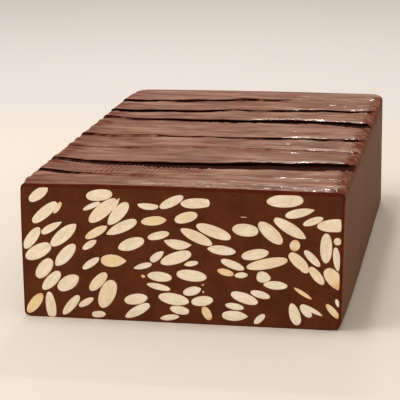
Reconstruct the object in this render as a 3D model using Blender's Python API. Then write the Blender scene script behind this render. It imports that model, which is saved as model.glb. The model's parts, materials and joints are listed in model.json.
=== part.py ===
"""A block of dark chocolate nougat with whole almonds, coated in chocolate and cut across at the front.

The nougat runs through the block and lies bare at the front cut and underneath. The chocolate covers
its top, its two long sides and its far end. The almonds that the cut goes through are set flush in the
cut face, each one a solid that runs a few millimetres back into the nougat. The top of the coat lies in
bands across the block, with a furrow in front of each band's lip.

Metres, +Z up, cut face towards -Y, origin at the middle of the underside.
"""

import math
import random

import bmesh
import bpy
from mathutils import Vector

MM = 0.001

# Overall sizes.
WIDTH = 197.0 * MM
DEPTH = 321.0 * MM
HEIGHT = 84.9 * MM
FRONT = -DEPTH / 2

# The outline of the cut face: its sides lean in a little towards the floor, and its corners are
# rounded.
LEFT_TOP_INSET = 0.6 * MM
RIGHT_FOOT_INSET = 1.9 * MM
TOP_CROWN = 0.5 * MM
TOP_LEFT_RADIUS = 3.2 * MM
TOP_RIGHT_RADIUS = 2.8 * MM
FOOT_RIGHT_RADIUS = 5.0 * MM
FOOT_LEFT_RADIUS = 3.6 * MM
CORE_RADII = (4.0 * MM, 1.6 * MM, 1.4 * MM, 5.0 * MM)

# Behind the cut the right side stands straighter and its foot is squarer: how far out the foot
# comes at most, and how far behind the cut it is half way there. The nougat and the hollow follow
# it in a few steps.
FOOT_SPREAD = 3.2 * MM
FOOT_SPREAD_HALF = 60.0 * MM
BODY_STEPS = (12.0 * MM, 35.0 * MM, 75.0 * MM, 150.0 * MM)

# The far end: its upright corners are rounded in plan, its top edge less.
END_CORNER_RADIUS = 15.0 * MM
END_TOP_RADIUS = 4.5 * MM

# The chocolate coat: how thick it is, and how far above the floor it ends.
GAP = 0.3 * MM
COAT_LEFT = 0.8 * MM
COAT_TOP = 2.1 * MM
COAT_RIGHT = 1.6 * MM
COAT_END = 2.2 * MM
COAT_FOOT = 0.8 * MM
FRONT_EDGE_RADIUS = 0.8 * MM
# The rounding of the coat's edge at the cut: distance from the face and drop, as shares of the
# radius.
FRONT_EDGE = ((0.0, 1.0), (0.35, 0.3), (1.3, 0.0))

# Each furrow across the top, front to back: its distance from the cut face at five places from left
# to right, the height from its bottom to the lip behind it at the same places, and its half width.
FURROW_STATIONS = (0.0, 50.0, 100.0, 150.0, 197.0)
FURROWS = (
    ((35.0, 30.5, 29.0, 29.0, 29.0), (1.3, 0.7, 0.4, 0.3, 0.4), 3.0),
    ((69.0, 64.0, 62.5, 63.5, 64.0), (1.3, 1.7, 2.0, 2.3, 2.2), 4.5),
    ((103.0, 107.0, 110.0, 109.0, 108.0), (1.2, 1.0, 0.8, 0.9, 0.9), 3.5),
    ((141.0, 143.0, 144.0, 146.0, 147.0), (1.2, 1.2, 1.3, 1.6, 1.6), 3.0),
    ((206.0, 202.0, 199.0, 204.0, 197.0), (1.1, 1.6, 1.7, 1.8, 1.4), 3.5),
    ((229.0, 234.0, 240.0, 245.0, 248.0), (1.3, 1.4, 1.4, 1.6, 1.4), 3.5),
    ((267.0, 275.0, 281.0, 284.0, 286.0), (1.2, 1.0, 0.5, 0.4, 0.5), 3.0),
)
# The profile across a furrow: place as a share of the half width, then plain distance, then the
# lean towards the cut face, then the drop below the coat's top as a share of the furrow's height.
# The lip behind the furrow leans out over its bottom and stands proud.
FURROW_PROFILE = (
    (-1.0, 0.0, 0.0, 0.0),
    (-0.4, 0.0, 0.0, 0.38),
    (0.1, 0.0, 0.0, 0.62),
    (0.35, 0.0, 0.0, 0.50),
    (0.35, 0.3, 0.8, 0.05),
    (0.35, 0.9, 0.3, -0.28),
    (0.35, 3.2, 0.0, -0.38),
    (0.35, 10.0, 0.0, -0.12),
)
SIDE_FADE = 5.0 * MM
TOP_COLUMNS = 10
WAVE_HEIGHT = 0.16 * MM

# The almonds in the cut face, in any order: they are numbered by area, largest first. Each row: the
# middle's distance from the left edge and the floor, length, width, lean in degrees, how pointed
# the two ends are (0.5 is an ellipse, more is pointed, less is blunt), how far the belly sits
# towards the second end, and the share of the width above the long axis. The lengths and widths
# take in the blur of the photo's outlines, which RIM_BLUR takes off again.
ALMONDS = (
    (11.7, 77.8, 15.0, 6.8, 36, 0.45, 0.55, 0.0, 0.5),
    (15.2, 66.6, 20.8, 7.0, 40, 0.40, 0.50, 0.0, 0.5),
    (6.5, 50.2, 17.4, 7.0, 53, 0.42, 0.55, 0.0, 0.5),
    (26.5, 52.8, 22.0, 8.2, 41, 0.50, 0.68, 0.0, 0.5),
    (10.2, 41.8, 18.8, 9.0, 29, 0.50, 0.42, 0.0, 0.5),
    (27.2, 40.2, 19.2, 8.0, 48, 0.65, 0.50, 0.0, 0.5),
    (13.6, 31.1, 15.8, 8.6, 52, 0.50, 0.42, 0.0, 0.5),
    (17.8, 23.5, 16.8, 7.3, 46, 0.58, 0.45, 0.05, 0.5),
    (28.5, 22.6, 16.2, 9.0, 34, 0.45, 0.62, 0.0, 0.5),
    (6.9, 8.6, 16.4, 7.0, 52, 0.50, 0.55, 0.0, 0.5),
    (16.9, 7.4, 18.6, 6.9, 96, 0.50, 0.50, -0.05, 0.5),
    (29.8, 8.4, 16.8, 5.9, 50, 0.50, 0.45, 0.05, 0.5),
    (47.3, 24.1, 16.0, 7.1, 47, 0.50, 0.45, 0.0, 0.5),
    (52.8, 16.5, 19.8, 10.3, 66, 0.50, 0.45, 0.05, 0.5),
    (57.3, 37.8, 16.4, 8.2, 1, 0.45, 0.85, -0.2, 0.5),
    (47.0, 55.3, 16.2, 5.6, 30, 0.45, 0.60, 0.0, 0.5),
    (49.5, 78.5, 16.8, 7.6, 8, 0.42, 0.42, 0.0, 0.5),
    (51.4, 69.0, 23.0, 8.6, 41, 0.50, 0.55, 0.0, 0.5),
    (60.8, 67.3, 19.2, 7.9, 48, 0.62, 0.48, 0.1, 0.5),
    (62.7, 58.9, 21.5, 6.9, 26, 0.72, 0.45, 0.15, 0.5),
    (68.4, 48.7, 17.6, 7.9, 20, 0.60, 0.45, 0.0, 0.5),
    (82.6, 63.7, 16.1, 6.2, 7, 0.50, 0.60, 0.0, 0.5),
    (85.4, 54.7, 14.2, 5.4, 15, 0.40, 0.55, 0.0, 0.5),
    (93.7, 75.7, 16.6, 6.1, 27, 0.50, 0.48, 0.0, 0.5),
    (108.0, 75.4, 18.2, 6.7, 4, 0.50, 0.22, 0.0, 0.5),
    (102.3, 66.5, 15.0, 7.0, 17, 0.45, 0.50, 0.0, 0.5),
    (97.0, 50.7, 17.4, 6.6, -7, 0.85, 0.85, 0.0, 0.3),
    (108.4, 54.8, 21.6, 7.1, -25, 0.62, 0.50, 0.0, 0.5),
    (118.9, 58.4, 22.5, 7.7, -19, 0.50, 0.45, 0.0, 0.5),
    (123.6, 47.1, 17.8, 6.4, -5, 0.68, 0.55, 0.0, 0.5),
    (138.0, 60.1, 16.2, 8.3, -4, 0.50, 0.42, 0.0, 0.5),
    (153.0, 58.9, 19.0, 8.6, -42, 0.50, 0.50, 0.0, 0.5),
    (164.6, 62.0, 22.4, 7.4, -31, 0.42, 0.75, 0.0, 0.5),
    (161.6, 78.7, 22.3, 8.4, 4, 0.50, 0.45, 0.05, 0.5),
    (170.4, 71.7, 18.2, 5.8, 14, 0.50, 0.75, -0.2, 0.5),
    (190.6, 64.8, 20.6, 8.3, 5, 0.55, 0.45, 0.0, 0.5),
    (186.0, 50.8, 18.8, 7.6, 89, 0.50, 0.45, 0.0, 0.5),
    (177.8, 44.3, 13.6, 5.1, -46, 0.45, 0.50, 0.0, 0.5),
    (169.8, 41.8, 15.4, 7.4, -43, 0.40, 0.50, 0.0, 0.5),
    (180.5, 33.7, 13.8, 6.0, -51, 0.42, 0.52, 0.0, 0.5),
    (190.7, 32.1, 15.9, 9.0, -52, 0.42, 0.50, -0.1, 0.5),
    (192.3, 44.4, 15.2, 4.8, -84, 0.45, 0.62, 0.0, 0.5),
    (143.8, 45.3, 17.2, 7.0, 12, 0.45, 0.55, 0.0, 0.5),
    (150.9, 39.9, 25.8, 7.0, 13, 0.50, 0.42, 0.0, 0.5),
    (130.2, 38.4, 15.4, 5.5, -20, 0.45, 0.50, 0.0, 0.5),
    (155.9, 26.7, 15.0, 5.8, -2, 0.68, 0.50, 0.0, 0.5),
    (137.2, 17.8, 17.6, 7.0, -18, 0.45, 0.50, 0.0, 0.5),
    (131.4, 6.4, 16.3, 6.9, 0, 0.45, 0.80, -0.15, 0.5),
    (167.4, 9.2, 14.6, 7.0, -74, 0.52, 0.45, 0.15, 0.5),
    (95.7, 41.1, 20.4, 7.8, 20, 0.50, 0.42, 0.05, 0.5),
    (85.5, 29.0, 15.6, 6.7, -4, 0.58, 0.45, 0.0, 0.5),
    (105.2, 30.5, 18.9, 7.7, -5, 0.42, 0.50, 0.0, 0.5),
    (105.4, 20.8, 11.9, 6.0, 16, 0.45, 0.65, 0.0, 0.5),
    (94.0, 15.2, 19.5, 7.9, -8, 0.50, 0.58, 0.0, 0.5),
    (111.5, 14.8, 14.0, 6.8, 9, 0.45, 0.50, 0.0, 0.5),
    (97.4, 8.4, 12.5, 5.9, -9, 0.62, 0.40, 0.0, 0.5),
    (70.6, 14.1, 15.2, 7.3, 11, 0.45, 0.55, 0.0, 0.5),
    (71.4, 6.7, 18.1, 6.4, 30, 0.60, 0.42, 0.05, 0.5),
)
RIM_BLUR = 0.5
RIM_POINTS = 16
ALMOND_FOOT = 0.4 * MM
NEIGHBOUR_GAP = 0.34 * MM
NEIGHBOUR_REACH = 26.0 * MM
PARTING_LINES = 72
OPEN_WALL = 0.5 * MM
WAIST = 0.55
WAIST_SCALE = 0.86
POCKET_AHEAD = 1.0 * MM
HOLLOW_AHEAD = 4.0 * MM
DEPTH_SHARE = (0.50, 0.72)
DEPTH_LEAST = 3.0 * MM
DEPTH_MOST = 6.0 * MM
SEED = 7


def clear_scene():
    for item in list(bpy.data.objects):
        bpy.data.objects.remove(item, do_unlink=True)


def make_material(name, color, roughness):
    material = bpy.data.materials.new(name)
    material.use_nodes = True
    shader = material.node_tree.nodes["Principled BSDF"]
    shader.inputs["Base Color"].default_value = (*color, 1.0)
    shader.inputs["Roughness"].default_value = roughness
    return material


def make_object(name, bm, material, sharp_degrees):
    """Turns a bmesh into a named object with one material, shaded smooth but for its sharp edges."""
    bmesh.ops.recalc_face_normals(bm, faces=bm.faces)
    mesh = bpy.data.meshes.new(name)
    bm.to_mesh(mesh)
    bm.free()
    mesh.materials.append(material)
    for face in mesh.polygons:
        face.use_smooth = True
    mesh.set_sharp_from_angle(angle=math.radians(sharp_degrees))
    made = bpy.data.objects.new(name, mesh)
    bpy.context.scene.collection.objects.link(made)
    return made


def arc(centre_x, centre_z, radius, start, end, steps):
    """Points of an arc in the plane of the cut, both ends among them, by angles in degrees."""
    points = []
    for step in range(steps + 1):
        angle = math.radians(start + (end - start) * step / steps)
        points.append((centre_x + radius * math.cos(angle), centre_z + radius * math.sin(angle)))
    return points


def left_edge(z):
    return -WIDTH / 2 + LEFT_TOP_INSET * (z / HEIGHT) ** 4


def right_edge(z):
    return WIDTH / 2 - RIGHT_FOOT_INSET * (1 - z / HEIGHT)


def section(inset_left, inset_top, inset_right, radii, foot):
    """The outline across the block, as (x, z), from the left foot over the top to the right foot."""
    foot_left, top_left, top_right, foot_right = radii
    top = HEIGHT - TOP_CROWN - inset_top
    middle = HEIGHT / 2
    start = 180 + math.degrees(math.asin(1 - foot / foot_left))
    points = arc(left_edge(0) + inset_left + foot_left, foot_left, foot_left, start, 180, 3)
    points.append((left_edge(middle) + inset_left, middle))
    corner = left_edge(top) + inset_left + top_left
    points += arc(corner, top - top_left, top_left, 180, 90, 3)
    far_corner = right_edge(top) - inset_right - top_right
    for column in range(1, TOP_COLUMNS):
        share = column / TOP_COLUMNS
        crown = TOP_CROWN * math.sin(math.pi * share)
        points.append((corner + (far_corner - corner) * share, top + crown))
    points += arc(far_corner, top - top_right, top_right, 90, 0, 3)
    points.append((right_edge(middle) - inset_right, middle))
    end = -math.degrees(math.asin(1 - foot / foot_right))
    points += arc(right_edge(0) - inset_right - foot_right, foot_right, foot_right, 0, end, 3)
    return points


def end_rows(inset):
    """Rows round the far end: distance from the cut face, how much narrower and how much lower the row is."""
    radius = END_CORNER_RADIUS - inset
    top_radius = END_TOP_RADIUS - inset
    rows = []
    for degrees in (0, 25, 50, 72, 90):
        reach = radius * math.sin(math.radians(degrees))
        narrower = radius * (1 - math.cos(math.radians(degrees)))
        past = max(0.0, reach - (radius - top_radius))
        lower = top_radius - math.sqrt(max(0.0, top_radius**2 - past**2))
        rows.append((DEPTH - inset - radius + reach, narrower, lower))
    return rows


def loft(bm, rows):
    """Joins rows of points, each an open line over the block, into a closed body with a flat foot and flat ends."""
    rings = []
    for row in rows:
        rings.append([bm.verts.new(point) for point in row])
    count = len(rings[0])
    for near, far in zip(rings, rings[1:]):
        for place in range(count):
            after = (place + 1) % count
            bm.faces.new((near[place], near[after], far[after], far[place]))
    bm.faces.new(rings[0])
    bm.faces.new(list(reversed(rings[-1])))


def narrowed(x, narrower):
    return x * (1 - narrower / (WIDTH / 2))


def straightened(x, behind, z, inset_right):
    """Where the right side is, this far behind the cut."""
    if x < 0 or behind <= 0:
        return x
    out = FOOT_SPREAD * behind / (behind + FOOT_SPREAD_HALF) * (1 - z / HEIGHT)
    return min(x + out, max(x, WIDTH / 2 - inset_right))


def end_block_rows(points, inset_back, inset_right):
    """Rows of a block's far end."""
    rows = []
    for distance, narrower, lower in end_rows(inset_back):
        row = []
        for x, z in points:
            share = max(0.0, min(1.0, (z - HEIGHT / 2) / (HEIGHT / 2)))
            side = narrowed(straightened(x, distance, z, inset_right), narrower)
            row.append(Vector((side, FRONT + distance, z - lower * share)))
        rows.append(row)
    return rows


def block_rows(points, front, inset_back, inset_right):
    """Rows of a smooth block with this section, which starts at the given distance from the cut face."""
    rows = []
    for distance in (front, *BODY_STEPS):
        row = []
        for x, z in points:
            row.append(Vector((straightened(x, distance, z, inset_right), FRONT + distance, z)))
        rows.append(row)
    return rows + end_block_rows(points, inset_back, inset_right)


def at_station(values, x):
    """Reads a furrow's value between its stations, with a smooth turn at each."""
    place = (x + WIDTH / 2) / MM
    for left, right, low, high in zip(FURROW_STATIONS, FURROW_STATIONS[1:], values, values[1:]):
        if place <= right:
            share = max(0.0, (place - left) / (right - left))
            share = share * share * (3 - 2 * share)
            return low + (high - low) * share
    return values[-1]


def wave(x, y):
    """The slow unevenness of the poured top."""
    slow = math.sin(x / (23 * MM) + y / (31 * MM)) + math.sin(y / (11 * MM) - x / (57 * MM))
    return WAVE_HEIGHT * 0.5 * slow


def fade(z):
    """How much of the top's relief a point has: all of it on top, none below the edge's rounding."""
    return max(0.0, 1 - max(0.0, HEIGHT - TOP_CROWN - z) / SIDE_FADE)


def coat_rows(points):
    """Rows of the coat's outside. Each furrow adds its profile, and the rows follow its path."""
    rows = []
    for distance, lower in FRONT_EDGE:
        row = []
        for x, z in points:
            rounded = z - lower * FRONT_EDGE_RADIUS * fade(z)
            row.append(Vector((x, FRONT + distance * FRONT_EDGE_RADIUS, rounded)))
        rows.append(row)
    for path, heights, half_width in FURROWS:
        for share, plain, lean, drop in FURROW_PROFILE:
            row = []
            for x, z in points:
                strength = fade(z)
                distance = at_station(path, x) + share * half_width + plain - lean * strength
                y = FRONT + distance * MM
                lower = (at_station(heights, x) * drop * MM - wave(x, y)) * strength
                inward = math.copysign(0.5 * lower * (1 - strength), -x)
                side = straightened(x, distance * MM, z, 0.0)
                row.append(Vector((side + inward, y, z - lower)))
            rows.append(row)
    return rows + end_block_rows(points, 0.0, 0.0)


def core_section(grow):
    """The nougat's outline, larger all round by grow."""
    radii = [radius + grow for radius in CORE_RADII]
    insets = (COAT_LEFT + GAP - grow, COAT_TOP + GAP - grow, COAT_RIGHT + GAP - grow)
    return section(*insets, radii, 0.0)


def almond_rim(row):
    """The outline of an almond in the cut face, as (x, z) round its middle."""
    x, z, length, width, lean, near_end, far_end, belly, above = row
    turn = math.radians(lean)
    points = []
    for step in range(RIM_POINTS):
        angle = 2 * math.pi * step / RIM_POINTS
        along = math.cos(angle)
        power = near_end + (far_end - near_end) * (along + 1) / 2
        across = math.sin(angle)
        across = math.copysign(abs(across) ** (2 * power), across) * (1 + belly * along)
        across *= 2 * above if across > 0 else 2 * (1 - above)
        u = along * (length - RIM_BLUR) / 2 * MM
        v = across * (width - RIM_BLUR) / 2 * MM
        points.append((u * math.cos(turn) - v * math.sin(turn), u * math.sin(turn) + v * math.cos(turn)))
    middle = (x * MM - WIDTH / 2, z * MM)
    return middle, points


def world(middle, points):
    return [(middle[0] + x, middle[1] + z) for x, z in points]


def shorten(middle, points, normal, limit):
    """Pulls each point towards the middle until it is behind a line across the face."""
    base = normal[0] * middle[0] + normal[1] * middle[1]
    pulled = []
    for x, z in points:
        out = normal[0] * x + normal[1] * z
        share = 1.0
        if base + out > limit:
            share = (limit - base) / out
        pulled.append((x * share, z * share))
    return pulled


def keep_apart(rims):
    """Trims each pair of neighbours that come too close, along the line that parts them best."""
    for first in range(len(rims)):
        for second in range(first + 1, len(rims)):
            if math.dist(rims[first][0], rims[second][0]) > NEIGHBOUR_REACH:
                continue
            best = None
            for step in range(PARTING_LINES):
                angle = 2 * math.pi * step / PARTING_LINES
                normal = (math.cos(angle), math.sin(angle))
                high = max(normal[0] * x + normal[1] * z for x, z in world(*rims[first]))
                low = min(normal[0] * x + normal[1] * z for x, z in world(*rims[second]))
                if best is None or low - high > best[0]:
                    best = (low - high, normal, (low + high) / 2)
            clear, normal, line = best
            if clear < NEIGHBOUR_GAP:
                half = NEIGHBOUR_GAP / 2
                away = (-normal[0], -normal[1])
                rims[first] = (rims[first][0], shorten(*rims[first], normal, line - half))
                rims[second] = (rims[second][0], shorten(*rims[second], away, -line - half))


def reach_inside(middle, x, z, fence):
    """How far a ray from the middle through a point goes before it meets the fence, as a share of the point's."""
    nearest = 1.0
    for place, (ax, az) in enumerate(fence):
        bx, bz = fence[(place + 1) % len(fence)]
        ex, ez = bx - ax, bz - az
        cross = x * ez - z * ex
        if abs(cross) < 1e-12:
            continue
        dx, dz = ax - middle[0], az - middle[1]
        along = (dx * ez - dz * ex) / cross
        on_edge = (dx * z - dz * x) / cross
        if 0 < along < nearest and 0 <= on_edge <= 1:
            nearest = along
    return nearest


def fenced(middle, points, fence):
    """The outline kept within the nougat, cut straight where it meets the nougat's side."""
    kept = []
    for x, z in points:
        share = reach_inside(middle, x, z, fence)
        kept.append((x * share, z * share))
    return kept


def grown(points, amount):
    """The outline moved out along its own normals."""
    count = len(points)
    result = []
    for place in range(count):
        bx, bz = points[place - 1]
        ax, az = points[(place + 1) % count]
        normal = Vector((az - bz, bx - ax)).normalized()
        if normal.dot(Vector(points[place])) < 0:
            normal = -normal
        result.append((points[place][0] + normal.x * amount, points[place][1] + normal.y * amount))
    return result


def scaled(points, share):
    return [(x * share, z * share) for x, z in points]


def opened(middle, points, fence):
    """Pushes a pocket out through the nougat's side where too thin a wall would be left."""
    pushed = []
    for x, z in points:
        far = math.hypot(x, z)
        room = reach_inside(middle, x * (1 + OPEN_WALL / far), z * (1 + OPEN_WALL / far), fence)
        more = 1 + 2 * OPEN_WALL / far if room < 1.0 else 1.0
        pushed.append((x * more, z * more))
    return pushed


def lens(bm, middle, rings, pole):
    """A closed body from rings of points, each at its distance behind the cut face, to one point at the back."""
    loops = []
    for points, distance in rings:
        loops.append([bm.verts.new((x, FRONT + distance, z)) for x, z in world(middle, points)])
    bm.faces.new(list(reversed(loops[0])))
    count = len(loops[0])
    for near, far in zip(loops, loops[1:]):
        for place in range(count):
            after = (place + 1) % count
            bm.faces.new((near[place], near[after], far[after], far[place]))
    tip = bm.verts.new((middle[0], FRONT + pole, middle[1]))
    for place in range(count):
        bm.faces.new((loops[-1][place], loops[-1][(place + 1) % count], tip))


def almond_depths(rows):
    """How deep each almond runs behind the cut, drawn from its width."""
    draw = random.Random(SEED)
    depths = []
    for row in rows:
        depth = row[3] * MM * draw.uniform(*DEPTH_SHARE)
        depths.append(max(DEPTH_LEAST, min(DEPTH_MOST, depth)))
    return depths


def make_almonds(fence, material):
    """Makes the almond nodes and the pockets that the nougat gets for them."""
    rows = sorted(ALMONDS, key=lambda row: row[2] * row[3], reverse=True)
    rims = [almond_rim(row) for row in rows]
    keep_apart(rims)
    pockets = bpy.data.collections.new("pockets")
    bpy.context.scene.collection.children.link(pockets)
    for number, (rim, depth) in enumerate(zip(rims, almond_depths(rows)), start=1):
        middle, points = rim
        inside = fenced(middle, points, fence)
        waist = WAIST * depth
        bm = bmesh.new()
        lens(bm, middle, ((inside, 0.0), (scaled(inside, WAIST_SCALE), waist)), depth)
        make_object(f"almond_{number:02d}", bm, material, 50)

        hole = opened(middle, grown(points, GAP), fence)
        hole_waist = grown(scaled(points, WAIST_SCALE), GAP)
        lean_out = POCKET_AHEAD / waist
        mouth = []
        for (x, z), (waist_x, waist_z) in zip(hole, hole_waist):
            mouth.append((x + (x - waist_x) * lean_out, z + (z - waist_z) * lean_out))
        bm = bmesh.new()
        lens(bm, middle, ((mouth, -POCKET_AHEAD), (hole_waist, waist)), depth + GAP)
        pocket = make_object(f"pocket_{number:02d}", bm, material, 50)
        bpy.context.scene.collection.objects.unlink(pocket)
        pockets.objects.link(pocket)
        pocket.hide_render = True
        pocket.display_type = "WIRE"
    return pockets


def cut(target, cutters, sharp_degrees):
    """Takes a collection of cutters out of the target in one step, and removes them."""
    modifier = target.modifiers.new("Cut", "BOOLEAN")
    modifier.operation = "DIFFERENCE"
    modifier.operand_type = "COLLECTION"
    modifier.collection = cutters
    modifier.solver = "EXACT"
    bpy.context.view_layer.objects.active = target
    bpy.ops.object.modifier_apply(modifier=modifier.name)
    for cutter in list(cutters.objects):
        bpy.data.objects.remove(cutter, do_unlink=True)
    bpy.data.collections.remove(cutters)
    for face in target.data.polygons:
        face.use_smooth = True
    target.data.set_sharp_from_angle(angle=math.radians(sharp_degrees))


def make_nougat(material):
    """The nougat core, which runs through the block and shows at the cut."""
    bm = bmesh.new()
    loft(bm, block_rows(core_section(0.0), 0.0, COAT_END + GAP, COAT_RIGHT + GAP))
    return make_object("nougat", bm, material, 40)


def make_coating(material):
    """The coat, with its bands and furrows, hollowed by a body a little larger than the nougat."""
    radii = (FOOT_LEFT_RADIUS, TOP_LEFT_RADIUS, TOP_RIGHT_RADIUS, FOOT_RIGHT_RADIUS)
    points = section(0.0, 0.0, 0.0, radii, COAT_FOOT)
    bm = bmesh.new()
    loft(bm, coat_rows(points))
    coating = make_object("coating", bm, material, 50)

    hollows = bpy.data.collections.new("hollows")
    bpy.context.scene.collection.children.link(hollows)
    bm = bmesh.new()
    loft(bm, block_rows(core_section(GAP), -HOLLOW_AHEAD, COAT_END, COAT_RIGHT))
    hollow = make_object("hollow", bm, material, 40)
    bpy.context.scene.collection.objects.unlink(hollow)
    hollows.objects.link(hollow)
    hollow.hide_render = True
    hollow.display_type = "WIRE"
    cut(coating, hollows, 40)
    return coating


clear_scene()
chocolate = make_material("chocolate", (0.11, 0.045, 0.025), 0.45)
dark_nougat = make_material("nougat", (0.075, 0.022, 0.009), 0.6)
almond = make_material("almond", (0.80, 0.63, 0.40), 0.6)

core = make_nougat(dark_nougat)
almond_fence = [(x, max(z, ALMOND_FOOT)) for x, z in core_section(0.0)]
cut(core, make_almonds(almond_fence, almond), 40)
make_coating(chocolate)
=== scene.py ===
"""A block of dark chocolate nougat with sliced almonds in its cut, and a banded chocolate coat."""

import json
import math
import random

import bmesh
import bpy
from mathutils import Matrix, Vector, noise
from mathutils.geometry import interpolate_bezier

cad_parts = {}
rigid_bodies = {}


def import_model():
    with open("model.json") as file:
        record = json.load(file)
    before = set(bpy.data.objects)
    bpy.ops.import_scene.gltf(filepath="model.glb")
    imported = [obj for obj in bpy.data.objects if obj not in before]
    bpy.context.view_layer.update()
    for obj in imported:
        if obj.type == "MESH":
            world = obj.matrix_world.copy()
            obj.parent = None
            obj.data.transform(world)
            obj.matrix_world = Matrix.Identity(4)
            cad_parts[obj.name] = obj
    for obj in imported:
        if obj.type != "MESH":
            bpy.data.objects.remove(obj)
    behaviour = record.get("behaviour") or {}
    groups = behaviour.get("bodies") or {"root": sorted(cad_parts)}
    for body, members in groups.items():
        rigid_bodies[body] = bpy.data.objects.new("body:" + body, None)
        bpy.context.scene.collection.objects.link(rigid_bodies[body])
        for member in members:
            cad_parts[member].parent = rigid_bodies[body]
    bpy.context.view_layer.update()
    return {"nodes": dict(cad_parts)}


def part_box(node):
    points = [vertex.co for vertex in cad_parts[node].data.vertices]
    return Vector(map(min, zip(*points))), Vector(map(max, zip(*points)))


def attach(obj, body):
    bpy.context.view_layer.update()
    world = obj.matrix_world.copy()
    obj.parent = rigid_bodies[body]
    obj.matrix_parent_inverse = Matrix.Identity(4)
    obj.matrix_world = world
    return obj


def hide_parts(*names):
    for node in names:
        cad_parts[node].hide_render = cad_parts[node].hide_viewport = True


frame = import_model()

MM = 0.001


# The nougat: a dark, soft-set chocolate nougat that fills the coat from wall to wall and was sawn
# across at the front. It is poured into its frame as one slab, so it is one plain body with rounded
# feet.
block_low, block_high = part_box("coating")
FRONT = block_low.y
BACK = block_high.y
LEFT = block_low.x
RIGHT = block_high.x
BLOCK_HEIGHT = 84.9 * MM
LEFT_TOP_INSET = 0.6 * MM
RIGHT_FOOT_INSET = 1.9 * MM
TOP_CROWN = 0.5 * MM
FOOT_SPREAD = 3.2 * MM
FOOT_SPREAD_HALF = 60.0 * MM
END_CORNER_RADIUS = 15.0 * MM
COAT_LEFT = 0.8 * MM
COAT_TOP = 2.1 * MM
COAT_RIGHT = 1.6 * MM
COAT_END = 2.2 * MM
FIT = 0.02 * MM
SET_BACK = 0.07 * MM
CORE_RADII = (4.3 * MM, 1.9 * MM, 1.7 * MM, 5.3 * MM)
CORE_END_RADIUS = 2.2 * MM
FRONT_FOOT_RADIUS = 0.5 * MM
LEFT_CURVE = 4
CROWN_CURVE = 0.7
NEAR = 1 * MM
LONG_EDGE = 20 * MM
WALL_STEPS = 12
BODY_STEPS = 24
CORNER_STEPS = 7
NOUGAT_DARK = (74, 32, 10)
NOUGAT_LIGHT = (94, 43, 15)


def from_srgb(color):
    """A colour of the photo's kind, 0 to 255, as the linear values a shader takes."""
    linear = []
    for value in color:
        value = value / 255
        linear.append(value / 12.92 if value < 0.04045 else ((value + 0.055) / 1.055) ** 2.4)
    return (*linear, 1.0)


def add_node(tree, kind, inputs=None, **options):
    """Adds a node. Each input is a plain value, or the output that is linked to it."""
    node = tree.nodes.new(kind)
    for name, value in options.items():
        setattr(node, name, value)
    for name, value in (inputs or {}).items():
        if isinstance(value, bpy.types.NodeSocket):
            tree.links.new(value, node.inputs[name])
        else:
            node.inputs[name].default_value = value
    return node


def new_material(name, roughness, specular):
    """A material, its node tree and its shader."""
    material = bpy.data.materials.new(name)
    material.use_nodes = True
    shader = material.node_tree.nodes["Principled BSDF"]
    shader.inputs["Roughness"].default_value = roughness
    shader.inputs["Specular IOR Level"].default_value = specular
    return material, material.node_tree, shader


def make_mottle_group():
    """A group that wanders between two colours in soft patches, with finer specks in them."""
    group = bpy.data.node_groups.new("mottle", "ShaderNodeTree")
    wanted = (
        ("Vector", "INPUT", "NodeSocketVector"),
        ("Dark", "INPUT", "NodeSocketColor"),
        ("Light", "INPUT", "NodeSocketColor"),
        ("Patch Scale", "INPUT", "NodeSocketFloat"),
        ("Speck Scale", "INPUT", "NodeSocketFloat"),
        ("Color", "OUTPUT", "NodeSocketColor"),
        ("Height", "OUTPUT", "NodeSocketFloat"),
    )
    for name, side, kind in wanted:
        group.interface.new_socket(name=name, in_out=side, socket_type=kind)
    given = group.nodes.new("NodeGroupInput")
    result = group.nodes.new("NodeGroupOutput")
    patches = add_node(
        group,
        "ShaderNodeTexNoise",
        {"Vector": given.outputs["Vector"], "Scale": given.outputs["Patch Scale"], "Detail": 3.0},
    )
    specks = add_node(
        group,
        "ShaderNodeTexNoise",
        {
            "Vector": given.outputs["Vector"],
            "Scale": given.outputs["Speck Scale"],
            "Detail": 4.0,
            "Roughness": 0.6,
        },
    )
    both = add_node(
        group,
        "ShaderNodeMix",
        {"Factor": 0.4, "A": patches.outputs["Fac"], "B": specks.outputs["Fac"]},
    )
    spread = add_node(
        group,
        "ShaderNodeMapRange",
        {"Value": both.outputs["Result"], "From Min": 0.36, "From Max": 0.64},
    )
    color = group.nodes.new("ShaderNodeMix")
    color.data_type = "RGBA"
    group.links.new(spread.outputs["Result"], color.inputs[0])
    group.links.new(given.outputs["Dark"], color.inputs[6])
    group.links.new(given.outputs["Light"], color.inputs[7])
    group.links.new(color.outputs[2], result.inputs["Color"])
    group.links.new(specks.outputs["Fac"], result.inputs["Height"])
    return group


MOTTLE = make_mottle_group()


def add_mottle(tree, vector, dark, light, patch_scale, speck_scale):
    """Adds the mottle group to a material, between two plain colours of the photo's kind."""
    node = tree.nodes.new("ShaderNodeGroup")
    node.node_tree = MOTTLE
    tree.links.new(vector, node.inputs["Vector"])
    node.inputs["Dark"].default_value = from_srgb(dark)
    node.inputs["Light"].default_value = from_srgb(light)
    node.inputs["Patch Scale"].default_value = patch_scale
    node.inputs["Speck Scale"].default_value = speck_scale
    return node


def mix_colors(tree, factor, first, second):
    """Mixes two colours, each a linked output or a plain colour of the photo's kind."""
    node = tree.nodes.new("ShaderNodeMix")
    node.data_type = "RGBA"
    for value, place in ((factor, 0), (first, 6), (second, 7)):
        if isinstance(value, bpy.types.NodeSocket):
            tree.links.new(value, node.inputs[place])
        elif place == 0:
            node.inputs[place].default_value = value
        else:
            node.inputs[place].default_value = from_srgb(value)
    return node.outputs[2]


def left_edge(z):
    """Where the block's left side stands at this height, in the cut."""
    return LEFT + LEFT_TOP_INSET * (z / BLOCK_HEIGHT) ** LEFT_CURVE


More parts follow.
